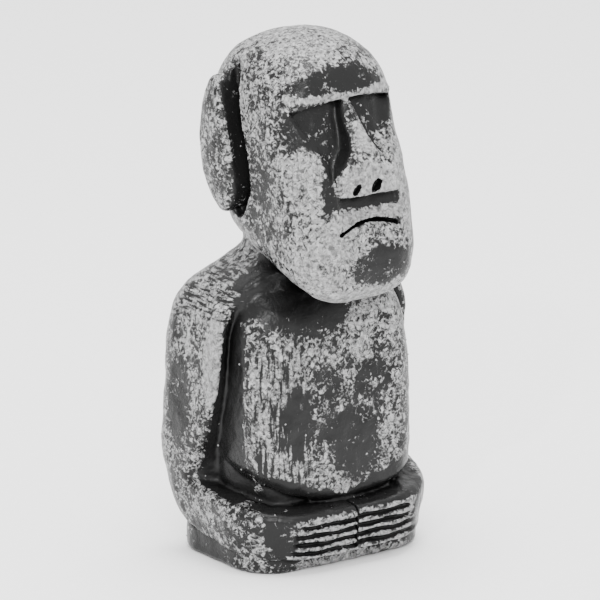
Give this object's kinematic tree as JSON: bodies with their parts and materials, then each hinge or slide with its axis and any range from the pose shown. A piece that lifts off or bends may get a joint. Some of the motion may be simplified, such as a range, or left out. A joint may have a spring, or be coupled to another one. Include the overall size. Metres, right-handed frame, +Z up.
{
  "type": "ancestor figure ornament",
  "caption": "Standing figure with a long stone face, flat ears, bent arms and hands over the belly; a hollow glazed clay ornament that rests on its plinth.",
  "frame": {"origin": "on the ground, under the middle of the figure's overall width and depth", "axes": "+Z up the figure, -Y the way the face looks, -X the figure's own right-hand side"},
  "size_m": [0.09, 0.0772, 0.2],
  "materials": {
    "glazed_clay": "dark semi-gloss glaze, dry-brushed with light grey matt paint",
    "biscuit_clay": "bare matt fired clay"
  },
  "bodies": {
    "root": {"torso_shell": "glazed_clay", "head_shell": "glazed_clay", "base_plate": "biscuit_clay", "ear_right": "glazed_clay", "ear_left": "glazed_clay", "arm_right": "glazed_clay", "arm_left": "glazed_clay", "hand_right": "glazed_clay", "hand_left": "glazed_clay"}
  },
  "joints": []
}
